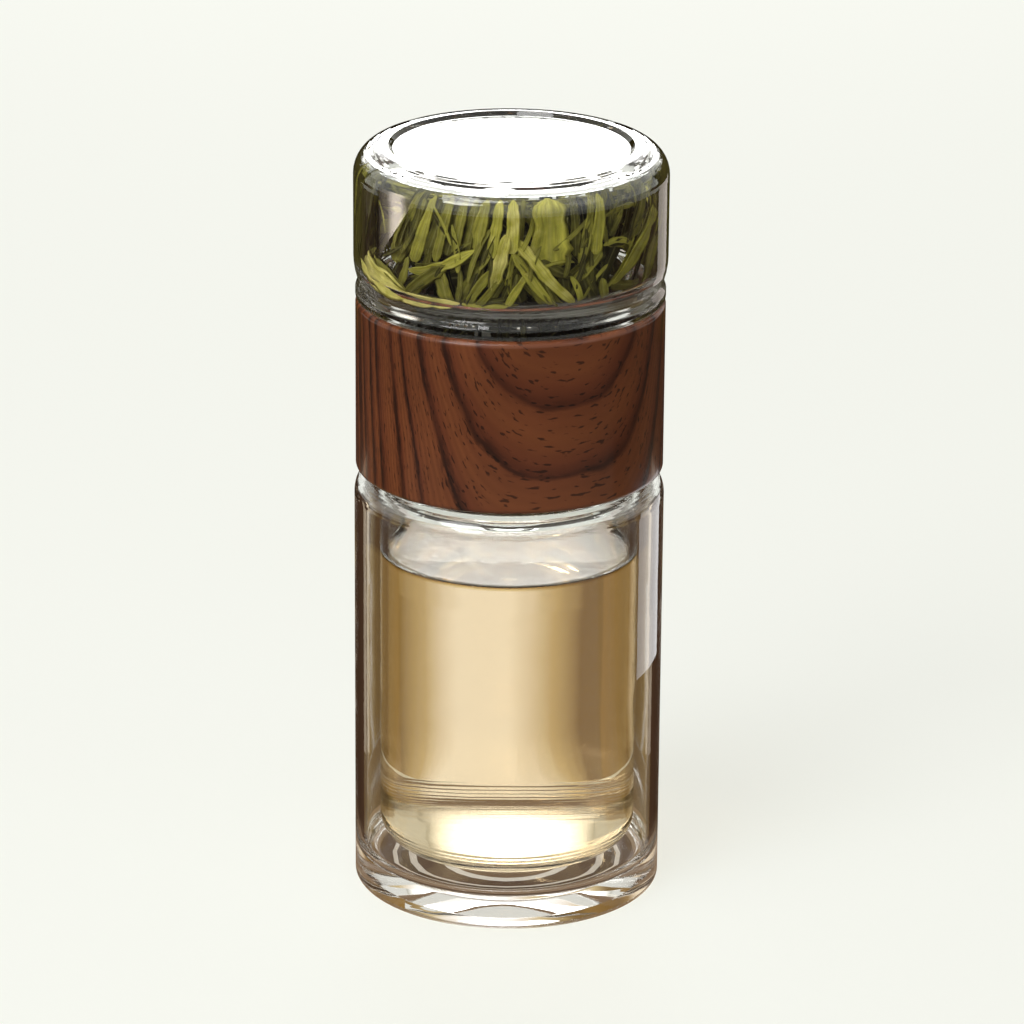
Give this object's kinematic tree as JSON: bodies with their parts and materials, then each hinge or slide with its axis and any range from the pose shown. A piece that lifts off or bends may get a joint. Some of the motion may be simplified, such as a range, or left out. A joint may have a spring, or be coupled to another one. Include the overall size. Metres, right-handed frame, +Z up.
{
  "type": "tea infuser bottle",
  "caption": "Double-wall glass tea bottle with a wood-grain strainer collar and an upturned glass tea chamber on top; collar and chamber unscrew for filling and drinking.",
  "frame": {"origin": "middle of the foot ring, on the surface that the bottle stands on", "axes": "+Z up along the bottle's axis; -Y is the side that the picture looks at, +X its right"},
  "size_m": [0.0662, 0.0662, 0.1645],
  "materials": {
    "bottle_glass": "clear gloss",
    "chamber_glass": "clear gloss",
    "wood_grain": "satin lacquer over wood grain",
    "core_plastic": "moulded, fine matt",
    "steel": "bright pressed sheet",
    "silicone": "milky, matt"
  },
  "bodies": {
    "bottle": {"outer_glass": "bottle_glass", "inner_glass": "bottle_glass"},
    "lower_ring": {"lower_seal": "silicone"},
    "collar": {"collar_sleeve": "wood_grain", "collar_core": "core_plastic", "strainer_frame": "steel", "strainer_disc": "steel"},
    "upper_ring": {"upper_seal": "silicone"},
    "chamber": {"tea_chamber": "chamber_glass"}
  },
  "joints": [
    {"name": "collar_lift", "type": "slide", "parent": "bottle", "child": "lower_ring", "axis": [0, 0, 1], "range_m": [0, 0.0161]},
    {"name": "collar_twist", "type": "hinge", "parent": "lower_ring", "child": "collar", "pos_m": [0, 0, 0.1], "axis": [0, 0, 1], "range_deg": [0, 720]},
    {"name": "chamber_lift", "type": "slide", "parent": "collar", "child": "upper_ring", "axis": [0, 0, 1], "range_m": [0, 0.0201]},
    {"name": "chamber_twist", "type": "hinge", "parent": "upper_ring", "child": "chamber", "pos_m": [0, 0, 0.125], "axis": [0, 0, 1], "range_deg": [0, 900]}
  ],
  "couplings": [
    {"joint": "collar_lift", "follows": "collar_twist", "m_per_rad": 0.0012732},
    {"joint": "chamber_lift", "follows": "chamber_twist", "m_per_rad": 0.0012732}
  ]
}
